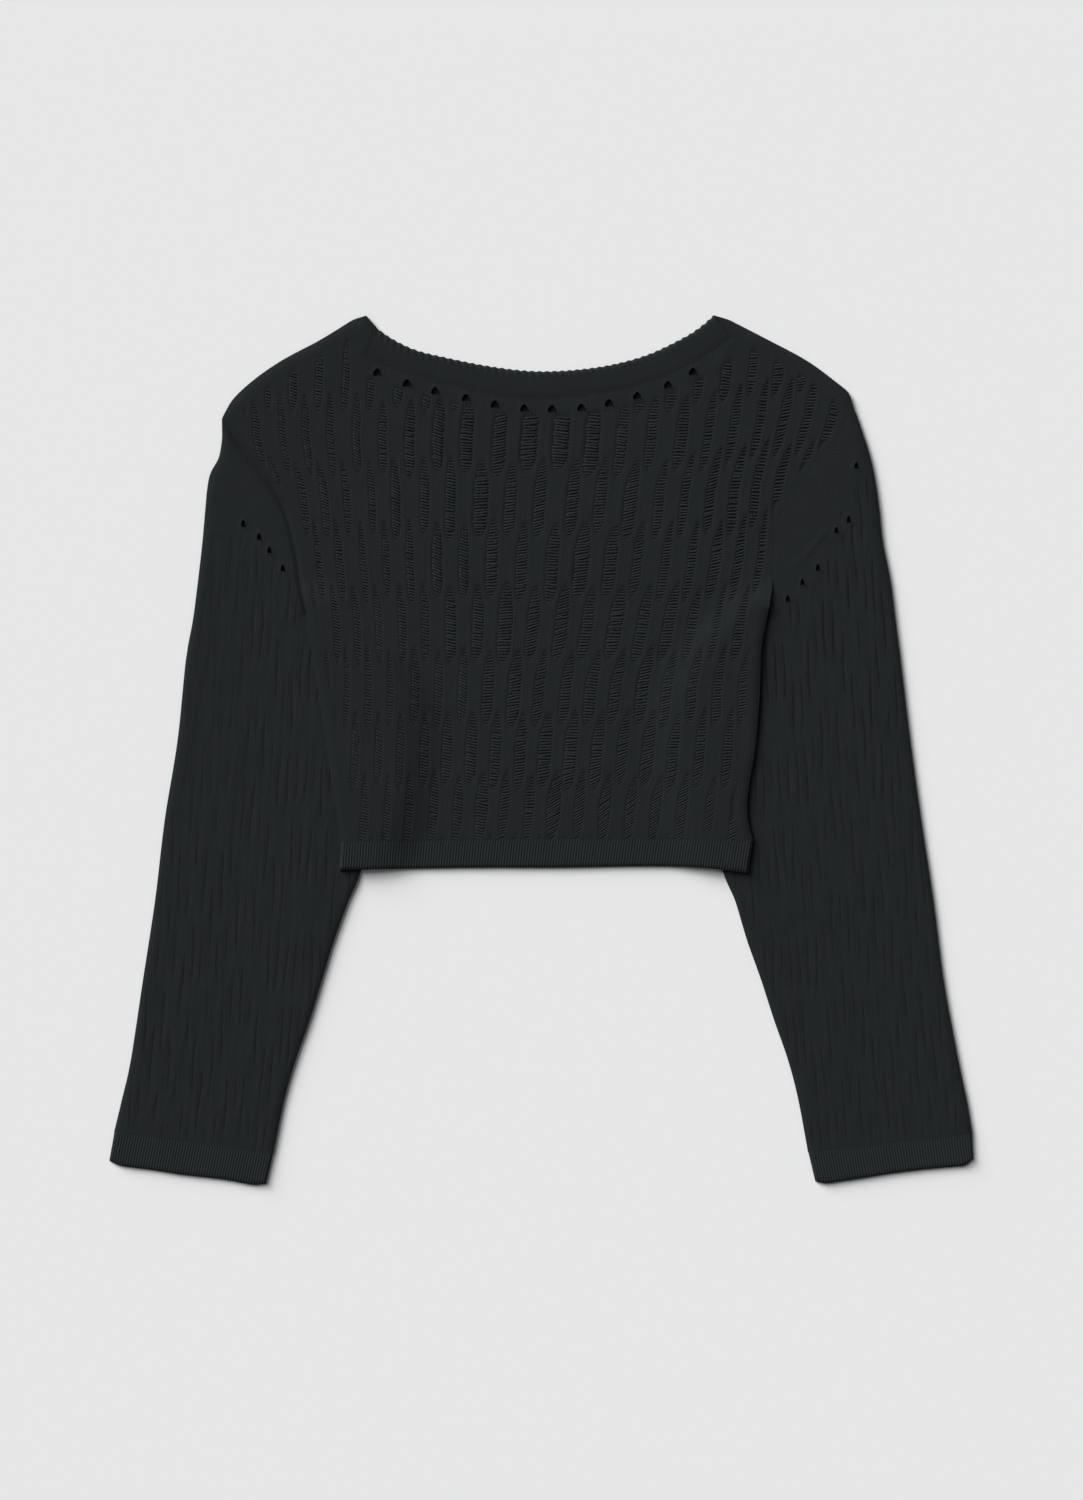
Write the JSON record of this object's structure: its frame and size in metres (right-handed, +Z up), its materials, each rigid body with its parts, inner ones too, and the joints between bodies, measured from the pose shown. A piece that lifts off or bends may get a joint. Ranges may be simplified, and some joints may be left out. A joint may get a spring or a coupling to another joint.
{
  "type": "cropped openwork sweater",
  "caption": "Cropped long-sleeved sweater laid flat, with a ribbed boat neck, ladder-stitch openwork, eyelet rows and narrow ribbed hem and cuffs.",
  "frame": {"origin": "centre of the bounding box, on the surface that the garment lies on", "axes": "+Z up from that surface, +Y towards the neck, +X to the right of someone who looks down on the garment"},
  "size_m": [0.6736, 0.6779, 0.0081],
  "materials": {
    "body_knit": "charcoal openwork knit, smooth wales between ladder columns, soft and matte",
    "sleeve_knit": "charcoal openwork knit with its ladders drawn closed, soft and matte",
    "neck_rib": "charcoal broad rib knit, matte",
    "fine_rib": "charcoal fine one-by-one rib knit, matte"
  },
  "bodies": {
    "root": {"front_panel": "body_knit", "back_panel": "body_knit", "left_sleeve_upper": "sleeve_knit", "left_sleeve_under": "sleeve_knit", "right_sleeve_upper": "sleeve_knit", "right_sleeve_under": "sleeve_knit", "neckband_front": "neck_rib", "neckband_back": "neck_rib", "hem_band_front": "fine_rib", "hem_band_back": "fine_rib", "left_cuff_upper": "fine_rib", "left_cuff_under": "fine_rib", "right_cuff_upper": "fine_rib", "right_cuff_under": "fine_rib"}
  },
  "joints": []
}
